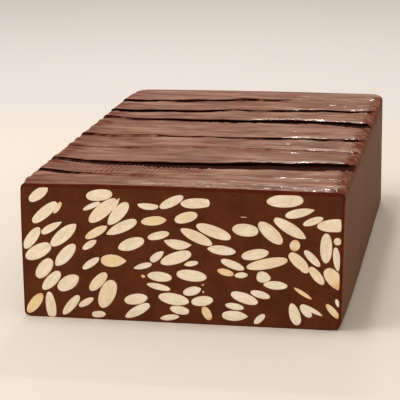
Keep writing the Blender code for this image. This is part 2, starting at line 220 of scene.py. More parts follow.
def right_edge(z):
    """Where the block's right side stands at this height, in the cut."""
    return RIGHT - RIGHT_FOOT_INSET * (1 - z / BLOCK_HEIGHT)


def straightened(x, y, z, inset):
    """Where the right side is behind the cut: there it leans less, and its foot is squarer."""
    behind = y - FRONT
    if x < 0 or behind <= 0:
        return x
    out = FOOT_SPREAD * behind / (behind + FOOT_SPREAD_HALF) * (1 - z / BLOCK_HEIGHT)
    return min(x + out, max(x, RIGHT - inset))


def finish_piece(name, bm, materials, sharp_degrees):
    """Turns a bmesh into a piece that rides on the block."""
    mesh = bpy.data.meshes.new(name)
    bm.to_mesh(mesh)
    bm.free()
    for material in materials:
        mesh.materials.append(material)
    for face in mesh.polygons:
        face.use_smooth = True
    mesh.set_sharp_from_angle(angle=math.radians(sharp_degrees))
    piece = bpy.data.objects.new(name, mesh)
    bpy.context.scene.collection.objects.link(piece)
    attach(piece, "root")
    return piece


def pour_nougat():
    """The slab's cut outline, with rounded corners and a crowned top, drawn back to the far end."""
    top = BLOCK_HEIGHT - TOP_CROWN - COAT_TOP - FIT
    bm = bmesh.new()
    corners = []
    for x, z in (
        (left_edge(0) + COAT_LEFT + FIT, 0.0),
        (left_edge(top) + COAT_LEFT + FIT, top),
        (right_edge(top) - COAT_RIGHT - FIT, top),
        (right_edge(0) - COAT_RIGHT - FIT, 0.0),
    ):
        corners.append(bm.verts.new((x, FRONT + SET_BACK, z)))
    bm.faces.new(corners)
    for corner, radius in zip(corners, CORE_RADII):
        bmesh.ops.bevel(bm, geom=[corner], offset=radius, offset_type="OFFSET",
                        segments=CORNER_STEPS, profile=0.5, affect="VERTICES", material=-1)
    long_edges = [edge for edge in bm.edges if edge.calc_length() > LONG_EDGE]
    bmesh.ops.subdivide_edges(bm, edges=long_edges, cuts=WALL_STEPS)
    middle = (LEFT + RIGHT) / 2
    half = (RIGHT - LEFT) / 2
    for vert in bm.verts:
        share = vert.co.z / BLOCK_HEIGHT
        if vert.co.x < middle - 0.9 * half:
            vert.co.x += LEFT_TOP_INSET * (share ** LEFT_CURVE - share)
        if vert.co.z > top - NEAR:
            across = (vert.co.x - middle) / half
            vert.co.z += TOP_CROWN * max(0.0, 1 - across ** 2) ** CROWN_CURVE
    drawn = bmesh.ops.extrude_face_region(bm, geom=list(bm.faces), use_keep_orig=True)
    far = [item for item in drawn["geom"] if isinstance(item, bmesh.types.BMVert)]
    reach = BACK - FRONT - SET_BACK - COAT_END - FIT
    bmesh.ops.translate(bm, vec=(0, reach, 0), verts=far)
    long_edges = [
        edge for edge in bm.edges if abs(edge.verts[0].co.y - edge.verts[1].co.y) > 0.5 * reach
    ]
    bmesh.ops.subdivide_edges(bm, edges=long_edges, cuts=BODY_STEPS)
    far_edges = [
        edge for edge in bm.edges if all(vert.co.y > BACK - COAT_END - NEAR for vert in edge.verts)
    ]
    bmesh.ops.bevel(bm, geom=far_edges, offset=CORE_END_RADIUS, offset_type="OFFSET", segments=3,
                    profile=0.5, affect="EDGES", material=-1)
    foot_edges = [edge for edge in bm.edges if all(
        vert.co.y < FRONT + NEAR and vert.co.z < 0.01 * MM for vert in edge.verts)]
    bmesh.ops.bevel(bm, geom=foot_edges, offset=FRONT_FOOT_RADIUS, offset_type="OFFSET", segments=4,
                    profile=0.5, affect="EDGES", material=-1)
    radius = END_CORNER_RADIUS - COAT_END
    for vert in bm.verts:
        vert.co.x = straightened(vert.co.x, vert.co.y, vert.co.z, COAT_RIGHT + FIT)
        past = min(1.0, max(0.0, vert.co.y - (BACK - COAT_END - radius)) / radius)
        narrower = (radius + FIT) * (1 - math.sqrt(1 - past * past))
        vert.co.x *= 1 - narrower / half
    bmesh.ops.recalc_face_normals(bm, faces=bm.faces)
    return bm


nougat_look, tree, shader = new_material("nougat", 0.62, 0.12)
place = tree.nodes.new("ShaderNodeTexCoord")
mottled = add_mottle(tree, place.outputs["Object"], NOUGAT_DARK, NOUGAT_LIGHT, 90.0, 900.0)
tree.links.new(mottled.outputs["Color"], shader.inputs["Base Color"])
grain = add_node(
    tree,
    "ShaderNodeBump",
    {"Strength": 0.35, "Distance": 0.3 * MM, "Height": mottled.outputs["Height"]},
)
tree.links.new(grain.outputs["Normal"], shader.inputs["Normal"])
nougat = finish_piece("nougat_slab", pour_nougat(), [nougat_look], 35)
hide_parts("nougat")


# The almonds: whole blanched and roasted kernels stirred into the nougat, each sawn through with
# it. Their cut faces are cream, a little proud of the nougat, and a thin tan edge shows where the
# outside of the kernel meets the cut.
ALMOND_LIGHT = (248, 237, 215)
ALMOND_DARK = (228, 208, 178)
ALMOND_EDGE = (206, 158, 122)
ALMOND_OUTSIDE = (150, 98, 58)
ALMOND_BLUSH = (236, 178, 120)
ALMOND_YELLOW = (236, 208, 150)
PROUD = 0.06 * MM
POCKET_ROOM = 0.1 * MM
POCKET_AHEAD = 0.6 * MM
ON_CUT = 0.02 * MM
OUTSIDE_FROM = 0.2 * MM
# How a kernel's body narrows behind the cut: the share of its depth, and the share of its width.
BODY_TAPER = ((0.55, 0.86), (0.86, 0.56), (1.0, 0.2))
# The cut's rounded edge, from the outline inwards: how far in, the share of its height, how tan.
CUT_EDGE = ((0.08 * MM, 0.6, 0.85), (0.14 * MM, 0.3, 0.45), (0.45 * MM, 0.1, 0.0))
# Kernels whose cut is warmer in places, by their CAD number: orange at the first end, orange at the
# second end, and yellow in the middle, each from 0 to 1.
PLAIN = (0.0, 0.0, 0.0)
WARM_CUTS = {
    1: (0.1, 0.2, 0.4),
    2: (0.1, 0.1, 0.3),
    4: (0.05, 0.35, 0.4),
    10: (0.2, 0.1, 0.1),
    14: (0.3, 0.1, 0.3),
    20: (0.3, 0.9, 0.7),
    24: (0.6, 0.4, 1.0),
    35: (0.6, 0.9, 1.0),
    36: (0.3, 0.3, 0.4),
    38: (0.3, 0.3, 0.3),
    42: (0.1, 0.1, 0.5),
    47: (0.3, 0.4, 0.9),
    50: (0.4, 0.3, 0.3),
    53: (0.3, 0.3, 0.4),
}
draw = random.Random(11)


def smooth_ring(points, steps):
    """A smooth closed line through the points, with steps points to each stretch."""
    count = len(points)
    ring = []
    for index, point in enumerate(points):
        before = points[index - 1]
        after = points[(index + 1) % count]
        beyond = points[(index + 2) % count]
        handle = point + (after - before) / 6
        other = after - (beyond - point) / 6
        ring += interpolate_bezier(point, handle, other, after, steps + 1)[:-1]
    return ring


def outline_of(node):
    """An almond's outline in the cut, from its CAD node, as points round its middle."""
    found = {}
    for vert in frame["nodes"][node].data.vertices:
        if vert.co.y < FRONT + ON_CUT:
            found[(round(vert.co.x, 6), round(vert.co.z, 6))] = Vector((vert.co.x, 0.0, vert.co.z))
    points = list(found.values())
    middle = sum(points, Vector()) / len(points)
    points.sort(key=lambda point: math.atan2(point.z - middle.z, point.x - middle.x))
    return smooth_ring(points, 3)


def long_axis(outline):
    """The outline's middle, its longest direction and its length."""
    middle = sum(outline, Vector()) / len(outline)
    far = max(outline, key=lambda point: (point - middle).length)
    other = max(outline, key=lambda point: (point - far).length)
    along = (far - other).normalized()
    if along.x < 0:
        along = -along
    return middle, along, (far - other).length


def slice_almond(outline, depth, grow, ahead):
    """A sliced kernel from its outline: a flat cut, and a body that narrows to the back."""
    middle = sum(outline, Vector()) / len(outline)
    bm = bmesh.new()
    ring = []
    for point in outline:
        out = point - middle
        out = out * (1 + grow / out.length)
        ring.append(bm.verts.new((middle.x + out.x, FRONT + SET_BACK - ahead, middle.z + out.z)))
    bm.faces.new(ring)
    bm.normal_update()
    rim = list(bm.edges)
    for depth_share, width_share in BODY_TAPER:
        drawn = bmesh.ops.extrude_edge_only(bm, edges=rim)
        verts = [item for item in drawn["geom"] if isinstance(item, bmesh.types.BMVert)]
        rim = [item for item in drawn["geom"] if isinstance(item, bmesh.types.BMEdge)]
        rim = [edge for edge in rim if all(vert in set(verts) for vert in edge.verts)]
        for vert in verts:
            vert.co.y = FRONT + depth_share * depth
        now = sum((vert.co for vert in verts), Vector()) / len(verts)
        widest = max((vert.co - now).length for vert in verts)
        first = max((point - middle).length for point in outline) + grow
        shrink = width_share * first / widest
        bmesh.ops.scale(bm, vec=(shrink, 1, shrink), space=Matrix.Translation(-now), verts=verts)
    bmesh.ops.contextual_create(bm, geom=rim)
    bmesh.ops.recalc_face_normals(bm, faces=bm.faces)
    return bm


def step_in(bm, face, middle, inward, forward):
    """Draws a smaller copy out of the cut face: its corners go towards the middle and forward."""
    bmesh.ops.inset_individual(bm, faces=[face], thickness=0.0, depth=0.0)
    for vert in face.verts:
        out = vert.co - middle
        out.y = 0.0
        vert.co -= out.normalized() * min(inward, 0.3 * out.length)
        vert.co.y -= forward


def dress_almond(name, outline, depth, warmth):
    """Makes one almond piece: the cut, set back at its edge, with a colour map along the kernel."""
    bm = slice_almond(outline, depth, 0.0, 0.0)
    middle, along, length = long_axis(outline)
    across = Vector((-along.z, 0.0, along.x))
    rim_layer = bm.verts.layers.float.new("rim")
    warm_layer = bm.verts.layers.float_vector.new("warm")
    for vert in bm.verts:
        vert[rim_layer] = 1.0
        vert[warm_layer] = warmth
    cut = max(bm.faces, key=lambda each: len(each.verts) * MM - each.calc_center_median().y)
    proud = PROUD * draw.uniform(0.5, 1.0)
    for inward, raised, rim in CUT_EDGE:
        step_in(bm, cut, middle, inward, proud * raised)
        for vert in cut.verts:
            vert[rim_layer] = rim
    flat = bm.loops.layers.uv.new("kernel")
    for each in bm.faces:
        centre = each.calc_center_median()
        each.material_index = 1 if centre.y > FRONT + OUTSIDE_FROM else 0
        for corner in each.loops:
            out = corner.vert.co - middle
            corner[flat].uv = (out.dot(along) / length + 0.5, out.dot(across) / length + 0.5)
    return finish_piece(name, bm, [almond_look, almond_outside_look], 40)


almond_look, tree, shader = new_material("cut almond", 0.55, 0.25)
kernel_map = add_node(tree, "ShaderNodeUVMap", uv_map="kernel")
stretched = add_node(
    tree, "ShaderNodeMapping", {"Vector": kernel_map.outputs["UV"], "Scale": (2.0, 22.0, 1.0)}
)
grain = add_node(
    tree, "ShaderNodeTexNoise", {"Vector": stretched.outputs["Vector"], "Scale": 1.0, "Detail": 5.0}
)
# The mottle runs along the kernel, and its place on the block makes each kernel's own.
place = tree.nodes.new("ShaderNodeTexCoord")
lengthwise = add_node(
    tree, "ShaderNodeMapping", {"Vector": kernel_map.outputs["UV"], "Scale": (1.3, 6.0, 1.0)}
)
spaced = add_node(
    tree, "ShaderNodeMapping", {"Vector": place.outputs["Object"], "Scale": (25.0, 25.0, 25.0)}
)
own_grain = add_node(
    tree, "ShaderNodeVectorMath", {0: lengthwise.outputs["Vector"], 1: spaced.outputs["Vector"]}
)
mottled = add_mottle(tree, own_grain.outputs["Vector"], ALMOND_DARK, ALMOND_LIGHT, 1.0, 4.0)
grain_mask = add_node(
    tree,
    "ShaderNodeMapRange",
    {"Value": grain.outputs["Fac"], "From Min": 0.55, "From Max": 0.8, "To Max": 0.35},
)
color = mix_colors(tree, grain_mask.outputs["Result"], mottled.outputs["Color"], ALMOND_DARK)
warm = add_node(tree, "ShaderNodeAttribute", attribute_name="warm")
warm_parts = add_node(tree, "ShaderNodeSeparateXYZ", {"Vector": warm.outputs["Vector"]})
along_map = add_node(tree, "ShaderNodeSeparateXYZ", {"Vector": kernel_map.outputs["UV"]})
for part, start, tip in (("X", 0.45, 0.0), ("Y", 0.55, 1.0)):
    end = add_node(
        tree,
        "ShaderNodeMapRange",
        {"Value": along_map.outputs["X"], "From Min": start, "From Max": tip},
        interpolation_type="SMOOTHSTEP",
    )
    strength = add_node(tree, "ShaderNodeMath", operation="MULTIPLY")
    tree.links.new(end.outputs["Result"], strength.inputs[0])
    tree.links.new(warm_parts.outputs[part], strength.inputs[1])
    color = mix_colors(tree, strength.outputs["Value"], color, ALMOND_BLUSH)
from_middle = add_node(
    tree,
    "ShaderNodeVectorMath",
    {0: kernel_map.outputs["UV"], 1: (0.5, 0.5, 0.0)},
    operation="DISTANCE",
)
centre = add_node(
    tree,
    "ShaderNodeMapRange",
    {"Value": from_middle.outputs["Value"], "From Min": 0.42, "From Max": 0.05},
)
centre_strength = add_node(tree, "ShaderNodeMath", operation="MULTIPLY")
tree.links.new(centre.outputs["Result"], centre_strength.inputs[0])
tree.links.new(warm_parts.outputs["Z"], centre_strength.inputs[1])
color = mix_colors(tree, centre_strength.outputs["Value"], color, ALMOND_YELLOW)
rim = add_node(tree, "ShaderNodeAttribute", attribute_name="rim")
rim_noise = add_node(
    tree, "ShaderNodeTexNoise", {"Vector": place.outputs["Object"], "Scale": 260.0}
)
rim_strength = add_node(tree, "ShaderNodeMath", operation="MULTIPLY")
tree.links.new(rim.outputs["Fac"], rim_strength.inputs[0])
tree.links.new(rim_noise.outputs["Fac"], rim_strength.inputs[1])
color = mix_colors(tree, rim_strength.outputs["Value"], color, ALMOND_EDGE)
tree.links.new(color, shader.inputs["Base Color"])
bump = add_node(
    tree,
    "ShaderNodeBump",
    {"Strength": 0.25, "Distance": 0.2 * MM, "Height": grain.outputs["Fac"]},
)
tree.links.new(bump.outputs["Normal"], shader.inputs["Normal"])

almond_outside_look, tree, shader = new_material("almond outside", 0.6, 0.3)
place = tree.nodes.new("ShaderNodeTexCoord")
mottled = add_mottle(tree, place.outputs["Object"], ALMOND_OUTSIDE, ALMOND_EDGE, 300.0, 1500.0)
tree.links.new(mottled.outputs["Color"], shader.inputs["Base Color"])

pockets = bpy.data.collections.new("pockets")
bpy.context.scene.collection.children.link(pockets)


def add_pocket(name, outline, depth):
    """The room that the nougat leaves for a kernel."""
    mesh = bpy.data.meshes.new(name)
    bm = slice_almond(outline, depth + POCKET_ROOM, POCKET_ROOM, POCKET_AHEAD)
    bm.to_mesh(mesh)
    bm.free()
    pockets.objects.link(bpy.data.objects.new(name, mesh))


for name in sorted(node for node in frame["nodes"] if node.startswith("almond_")):
    number = int(name.split("_")[1])
    outline = outline_of(name)
    low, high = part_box(name)
    depth = high.y - low.y
    piece = dress_almond(f"kernel_{number:02d}", outline, depth, WARM_CUTS.get(number, PLAIN))
    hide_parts(name)
    add_pocket(f"pocket_{number:02d}", outline, depth)


# The thin slices and crumbs: where the saw only caught the side of a kernel, or a broken piece.
# They are the same almonds, too small to count among the solids, and lie in the cut in the same
# way.
SLICE_STEPS = 40
SLICE_FOOT = 0.4 * MM
LEAST_DEPTH = 0.8
DEPTH_SHARE = 0.5
# Each row, in millimetres: the middle's distance from the left edge and the floor, length, width,
# lean in degrees, how pointed the two ends are, how far the belly sits towards the second end, the
# share of the width above the long axis, and the warmth of the two ends and the middle.
THIN_SLICES = (
    (23.3, 69.7, 8.8, 3.2, 56, 0.70, 0.40, 0.0, 0.5, (0.4, 0.9, 0.4)),
    (19.3, 57.1, 15.2, 4.4, 31, 0.45, 0.80, -0.3, 0.55, PLAIN),
    (39.4, 10.7, 10.9, 4.1, 31, 0.45, 0.65, 0.0, 0.5, PLAIN),
    (47.1, 3.3, 8.6, 4.2, 4, 0.25, 0.50, 0.0, 0.5, PLAIN),
    (43.1, 35.6, 12.8, 4.4, 35, 0.50, 0.60, 0.0, 0.5, PLAIN),
    (42.6, 47.3, 10.6, 4.1, 34, 0.50, 0.70, 0.0, 0.5, PLAIN),
    (44.6, 71.5, 11.9, 3.1, 25, 0.55, 0.40, 0.0, 0.5, PLAIN),
    (59.6, 73.0, 9.4, 1.8, 60, 0.60, 0.60, 0.0, 0.5, PLAIN),
    (79.3, 73.2, 12.8, 4.0, -3, 0.60, 0.40, 0.0, 0.3, PLAIN),
    (178.2, 66.9, 12.6, 4.4, 21, 0.50, 0.50, 0.0, 0.5, PLAIN),
    (167.5, 51.8, 7.0, 6.2, 70, 0.50, 0.50, 0.0, 0.5, (1.0, 0.8, 0.2)),
    (173.0, 38.0, 7.0, 5.0, -45, 0.50, 0.50, 0.0, 0.5, PLAIN),
    (125.8, 33.5, 10.2, 4.2, -13, 0.60, 0.40, 0.0, 0.5, (1.0, 1.0, 1.0)),
    (135.4, 32.1, 8.1, 3.7, 6, 0.55, 0.70, 0.0, 0.5, PLAIN),
    (148.9, 31.4, 8.6, 6.9, -8, 0.38, 0.65, -0.2, 0.5, PLAIN),
    (146.8, 20.5, 12.1, 4.6, -14, 0.50, 0.50, 0.0, 0.5, PLAIN),
    (131.2, 12.3, 11.4, 4.2, -8, 0.50, 0.50, 0.0, 0.5, PLAIN),
    (146.3, 5.1, 8.6, 4.0, 44, 0.50, 0.45, 0.0, 0.5, PLAIN),
    (174.2, 11.5, 9.6, 5.2, -51, 0.45, 0.50, 0.0, 0.5, PLAIN),
    (178.0, 12.2, 14.0, 2.8, -28, 0.50, 0.80, 0.0, 0.5, PLAIN),
    (172.3, 22.4, 13.0, 2.5, -32, 0.70, 0.70, 0.0, 0.5, (0.9, 0.9, 0.8)),
    (190.1, 12.1, 11.4, 3.9, -48, 0.50, 0.45, 0.0, 0.5, (0.7, 1.0, 0.7)),
    (84.3, 41.7, 10.4, 4.6, 38, 0.40, 0.75, -0.2, 0.5, PLAIN),
    (75.3, 35.2, 11.6, 3.6, 16, 0.70, 0.50, 0.15, 0.5, PLAIN),
    (105.0, 38.0, 8.8, 3.3, 12, 0.75, 0.40, 0.0, 0.5, PLAIN),
    (75.4, 28.75, 2.6, 1.8, -20, 0.60, 0.50, 0.0, 0.5, (1.0, 1.0, 1.0)),
    (84.7, 22.6, 14.8, 4.0, -11, 0.70, 0.42, 0.0, 0.5, PLAIN),
    (91.2, 3.4, 12.0, 3.7, 9, 0.75, 0.50, 0.0, 0.5, PLAIN),
    (114.2, 7.2, 9.2, 5.2, -62, 0.50, 0.40, 0.0, 0.5, (0.8, 1.0, 1.0)),
    (192.6, 55.2, 4.4, 4.5, 0, 0.50, 0.35, 0.0, 0.5, (0.3, 0.3, 0.2)),
    (193.0, 17.3, 5.4, 2.4, -70, 0.50, 0.50, 0.0, 0.5, PLAIN),
    (112.0, 25.0, 1.2, 1.0, 20, 0.50, 0.50, 0.0, 0.5, (0.4, 0.4, 0.3)),
    (112.2, 20.6, 1.2, 1.1, 60, 0.50, 0.50, 0.0, 0.5, (0.4, 0.4, 0.3)),
    (137.0, 68.0, 4.2, 0.45, -2, 0.60, 0.60, 0.0, 0.5, (1.0, 1.0, 1.0)),
)


def slice_outline(x, z, length, width, lean, near_end, far_end, belly, above):
    """The outline of a thin slice, from its length, width and ends."""
    turn = math.radians(lean)
    points = []
    for step in range(SLICE_STEPS):
        angle = 2 * math.pi * step / SLICE_STEPS
        along = math.cos(angle)
        across = math.sin(angle)
        power = near_end + (far_end - near_end) * (along + 1) / 2
        across = math.copysign(abs(across) ** (2 * power), across) * (1 + belly * along)
        across *= 2 * above if across > 0 else 2 * (1 - above)
        u = along * length / 2
        v = across * width / 2
        point_x = LEFT + (x + u * math.cos(turn) - v * math.sin(turn)) * MM
        point_z = (z + u * math.sin(turn) + v * math.cos(turn)) * MM
        points.append(Vector((point_x, 0.0, max(point_z, SLICE_FOOT))))
    return points


for number, (*sizes, warmth) in enumerate(THIN_SLICES, start=1):
    outline = slice_outline(*sizes)
    depth = max(LEAST_DEPTH, DEPTH_SHARE * sizes[3]) * MM
    dress_almond(f"thin_slice_{number:02d}", outline, depth, warmth)
    add_pocket(f"slice_pocket_{number:02d}", outline, depth)

# The pockets are cut from the nougat, which closes on the kernels all round.
cutting = nougat.modifiers.new("pockets", "BOOLEAN")
cutting.operation = "DIFFERENCE"
cutting.operand_type = "COLLECTION"
cutting.collection = pockets
cutting.solver = "EXACT"
bpy.context.view_layer.objects.active = nougat
bpy.ops.object.modifier_apply(modifier=cutting.name)
for pocket in list(pockets.objects):
    bpy.data.objects.remove(pocket, do_unlink=True)
bpy.data.collections.remove(pockets)
for face in nougat.data.polygons:
    face.use_smooth = True
nougat.data.set_sharp_from_angle(angle=math.radians(35))


# The coat: chocolate combed over the slab in bands, front to back, while it set. It is a
# skin over the top, both long sides and the far end, sawn off flush with the nougat at the front,
# and it ends just off the floor. Its top is painted lighter and pinker than its sides, a painted
# sheen, and painted shade darkens its furrows, folds, low streaks and comb strokes.
COAT_RADII = (3.6 * MM, 3.2 * MM, 2.8 * MM, 5.0 * MM)
COAT_FOOT = 0.8 * MM
FRONT_ROUNDING = 0.2 * MM
END_TOP_RADIUS = 4.5 * MM
SIDE_FADE = 5.0 * MM
# Steps round the block's section: the feet, the left side, its top corner, the right top corner,
# the right side.
FOOT_STEPS = 4
LEFT_STEPS = 12
LEFT_CORNER_STEPS = 6
RIGHT_CORNER_STEPS = 8
RIGHT_STEPS = 16
# How far apart the columns and rows lie on the top, in millimetres, and the turns of the edge at
# the cut and of the far end, in degrees.
COMBED_COLUMNS = (10, 112)
COMBED_STEP = 0.8
FOLDED_COLUMNS = 182
FOLDED_STEP = 0.75
PLAIN_STEP = 1.4
LEAST_STEP = 0.4
BAND_STEP = 0.95
EDGE_TURNS = (0, 22.5, 45, 67.5, 90)
END_TURNS = (0, 12, 25, 38, 50, 61, 72, 81, 90)
# Each furrow across the top, front to back, in millimetres: how far behind the cut its floor begins
# at five places from left to right, how far behind the cut the lip behind it stands, and how high
# the lip is.
FURROW_STATIONS = (0.0, 50.0, 100.0, 150.0, 197.0)
FURROWS = (
    ((31.5, 27, 25.5, 25.5, 25.5), (37, 32.5, 31, 31, 31),
     (1.9, 0.55, 0.3, 0.15, 0.1)),
    ((61.5, 54.5, 51, 54, 59), (69, 66.5, 67, 72.5, 77),
     (0.9, 2, 3.2, 3.7, 3.7)),
    ((99.5, 103.5, 106.5, 105.5, 104.5), (105, 109, 112, 111, 110),
     (0.55, 0.5, 0.45, 0.5, 0.5)),
    ((137.5, 139.5, 140.5, 142.5, 143.5), (143, 145, 146, 148, 149),
     (0.8, 0.7, 0.8, 1.3, 1.2)),
    ((200, 196, 192.5, 196.5, 190.5), (206, 204.5, 203.5, 209, 204),
     (0.7, 1.7, 2.9, 3.2, 3.1)),
    ((223.5, 228.5, 235.5, 240.5, 243.5), (231.5, 236.5, 242.5, 247.5, 250.5),
     (1.9, 1.9, 1.1, 1.5, 1.4)),
    ((262, 270, 277, 280, 282), (269.5, 277.5, 283.5, 286.5, 288.5),
     (2, 1.3, 1, 0.2, 0.1)),
)
# Across a furrow: place as a share of the way from its floor's front to its lip, then plain
# distance and lean back over the furrow in millimetres, then height as a share of the lip's, then
# how much painted shade it gets, darkest in the hollow under the lip.
LIP = (
    (0.0, -1.9, 0.0, 0.0, 0.0),
    (0.0, -1.2, 0.0, -0.02, 0.0),
    (0.0, -0.8, 0.0, -0.12, 0.4),
    (0.0, -0.4, 0.0, -0.34, 0.8),
    (0.0, 0.0, 0.0, -0.56, 1.0),
    (0.1, 0.2, 0.0, -0.70, 1.0),
    (0.4, 0.0, 0.0, -0.76, 1.0),
    (0.75, 0.0, 0.0, -0.76, 1.0),
    (1.0, 0.0, 0.0, -0.74, 1.0),
    (1.0, 0.15, 0.1, -0.66, 1.0),
    (1.0, 0.30, 0.3, -0.50, 1.0),
    (1.0, 0.45, 0.8, -0.34, 1.0),
    (1.0, 0.60, 1.5, -0.22, 1.0),
    (1.0, 0.75, 2.1, -0.10, 1.0),
    (1.0, 0.90, 2.5, -0.02, 0.9),
    (1.0, 1.05, 2.7, 0.06, 0.6),
    (1.0, 1.25, 2.6, 0.12, 0.25),
    (1.0, 1.5, 2.35, 0.165, 0.05),
    (1.0, 1.85, 1.9, 0.2, 0.0),
    (1.0, 2.4, 1.3, 0.22, 0.0),
    (1.0, 3.2, 0.7, 0.225, 0.0),
    (1.0, 4.3, 0.2, 0.215, 0.0),
    (1.0, 5.6, 0.0, 0.19, 0.0),
    (1.0, 7.2, 0.0, 0.15, 0.0),
    (1.0, 9.0, 0.0, 0.1, 0.0),
    (1.0, 11.5, 0.0, 0.04, 0.0),
    (1.0, 14.5, 0.0, 0.0, 0.0),
)
# In millimetres: the deepest a furrow goes, how low the bands lie, the height from which a lip
# leans in full, and how far it reaches back.
DEEPEST = 1.95
BAND_SINK = 0.25
LEAN_HEIGHT = 1.7
LAST_LIP_REACH = 14.5
# The unevenness of the top. Each has the length and the depth of its patches, in millimetres, and a
# seed.
SWELLS = (34, 15, 1)
STREAKS = (24, 4.6, 2)
FINE_STREAKS = (11, 2.1, 3)
STROKE_DRIFT = (13, 20, 4)
FOLDS = (16, 4.6, 5)
CRINKLES = (3.0, 2.6, 6)
GLOSS_LENGTHS = (19, 4, 8)
GLOSS_BREAKS = (5, 3, 9)
FRONT_GLINTS = (2.6, 2.2, 10)
SPARKS = (8, 1.3, 11)
LEFT_END_PATCHES = (12, 5, 13)
# How high each stands, in millimetres, and how the combed strokes and the folds run.
SWELL_HEIGHT = 0.25
STREAK_HEIGHT = 0.8
FINE_HEIGHT = 0.34
CRINKLE_HEIGHT = 0.6
SWOLLEN_HEIGHT = 1.1
COMB_HEIGHT = 0.28
COMB_PITCH = 2.9
COMB_SLANT = 0.12
COMB_DRIFT = 1.6
FOLD_RISE = 0.5
FOLD_DEPTH = 3.2
FOLD_SLANT = 0.9
SAW_BURR = 0.4 * MM
# Where each begins or ends, in millimetres from the left edge.
COMB_LEFT = (8, 16)
COMB_RIGHT = (98, 116)
FOLD_START = (187, 192)
CRINKLE_START = (60, 80)
LEFT_END = (3, 22)
SWOLLEN_END = (3, 26)
BURR_START = (20, 60)
LIP_ENDING = (188, 195)
LIP_PALER = (165, 190)
LIP_GLOSS = (95, 150)
EDGE_GLOSS = (85, 120)
GLINT_START = (50, 80)
SPARK_START = (90, 150)
GLOSS_ENDING = (188, 194)
SAWN_SHADE_ENDING = (80, 130)
# Where each begins or ends, in millimetres behind the cut.
COMB_FRONT = (34, 38)
COMB_BACK = (55, 60)
CRINKLE_BACK = (4, 18)
SWOLLEN_FRONT = (2, 12)
GLINT_REACH = 16
BURR_REACH = 2.5
CUT_FADE = 2.0
END_FADE = 14
# How dark each is, from 0 to 1: painted shade in the low streaks, between the comb strokes and on
# the left of the sawn edge, darker patches at the left end, and the most, which is also the folds'
# painted shade.
STREAK_SHADE = 0.22
COMB_SHADE = 0.34
LEFT_END_SHADE = 0.5
SAWN_SHADE = 0.42
MOST_SHADE = 0.45
# The sparks' share of full gloss, and a glossy lip's least height, as a share, and its reach in
# millimetres.
SPARK_GLOSS = 0.6
GLOSSY_HEIGHT = 0.1
GLOSSY_REACH = 5
# The top's streak colours: the light one holds a painted sheen, lighter and pinker than the
# chocolate's own colour.
CHOCOLATE_DARK = (92, 54, 39)
TOP_LIGHT_WITH_SHEEN = (155, 115, 94)
SIDE_DARK = (92, 56, 32)
SIDE_LIGHT = (109, 72, 45)
# Painted shade: a shade brown for the low streaks, comb strokes, folds and sawn edge, and a
# near-black brown deep in the furrows under the lips.
PAINTED_SHADE_BROWN = (100, 43, 24)
PAINTED_DEEP_SHADE = (40, 12, 5)
CUT_CHOCOLATE_DARK = (70, 22, 9)
CUT_CHOCOLATE_LIGHT = (94, 32, 14)
SIDE_ROUGHNESS = 0.6


def smooth_step(start, end, value):
    """Rises smoothly from 0 at start to 1 at end."""
    share = min(1.0, max(0.0, (value - start) / (end - start)))
    return share * share * (3 - 2 * share)


def section_line(insets, radii, foot):
    """Points over the block from the left foot to the right, each with its outward direction."""
    inset_left, inset_top, inset_right = insets
    foot_left, top_left, top_right, foot_right = radii
    top = BLOCK_HEIGHT - TOP_CROWN - inset_top
    line = []

    def add_arc(x, z, radius, start, end, steps):
        """Adds a rounded corner from one angle to another, in degrees."""
        for step in range(steps + 1):
            angle = math.radians(start + (end - start) * step / steps)
            out = Vector((math.cos(angle), 0.0, math.sin(angle)))
            line.append((Vector((x, 0.0, z)) + radius * out, out))

    start = 180 + math.degrees(math.asin(1 - foot / foot_left))
    add_arc(left_edge(0) + inset_left + foot_left, foot_left, foot_left, start, 180, FOOT_STEPS)
    for step in range(1, LEFT_STEPS):
        z = foot_left + (top - top_left - foot_left) * step / LEFT_STEPS
        line.append((Vector((left_edge(z) + inset_left, 0.0, z)), Vector((-1, 0, 0))))
    corner = left_edge(top) + inset_left + top_left
    add_arc(corner, top - top_left, top_left, 180, 90, LEFT_CORNER_STEPS)
    far_corner = right_edge(top) - inset_right - top_right
    for x in top_columns(corner, far_corner):
        crown = TOP_CROWN * math.sin(math.pi * (x - corner) / (far_corner - corner))
        line.append((Vector((x, 0.0, top + crown)), Vector((0, 0, 1))))
    add_arc(far_corner, top - top_right, top_right, 90, 0, RIGHT_CORNER_STEPS)
    for step in range(1, RIGHT_STEPS):
        z = top - top_right - (top - top_right - foot_right) * step / RIGHT_STEPS
        line.append((Vector((right_edge(z) - inset_right, 0.0, z)), Vector((1, 0, 0))))
    end = -math.degrees(math.asin(1 - foot / foot_right))
    heel = right_edge(0) - inset_right - foot_right
    add_arc(heel, foot_right, foot_right, 0, end, FOOT_STEPS)
    return line


def top_columns(start, end):
    """Where the columns lie over the top: closer at the combed strokes and at the folded edge."""
    columns = []
    x = start
    while True:
        along = (x - LEFT) / MM
        step = COMBED_STEP if COMBED_COLUMNS[0] < along < COMBED_COLUMNS[1] else PLAIN_STEP
        if along > FOLDED_COLUMNS:
            step = FOLDED_STEP
        x += step * MM
        if x > end - LEAST_STEP * MM:
            return columns
        columns.append(x)


def at_station(values, x):
    """Reads a furrow's value between its stations, with a smooth turn at each."""
    along = (x - LEFT) / MM
    for left, right, low, high in zip(FURROW_STATIONS, FURROW_STATIONS[1:], values, values[1:]):
        if along <= right:
            return low + (high - low) * smooth_step(left, right, along)
    return values[-1]


def ripple(x, y, size_x, size_y, seed):
    """Smooth unevenness from -1 to 1, whose patches are this long and this deep, in millimetres."""
    return noise.noise(Vector((x / (size_x * MM), y / (size_y * MM), seed * 7.31)))


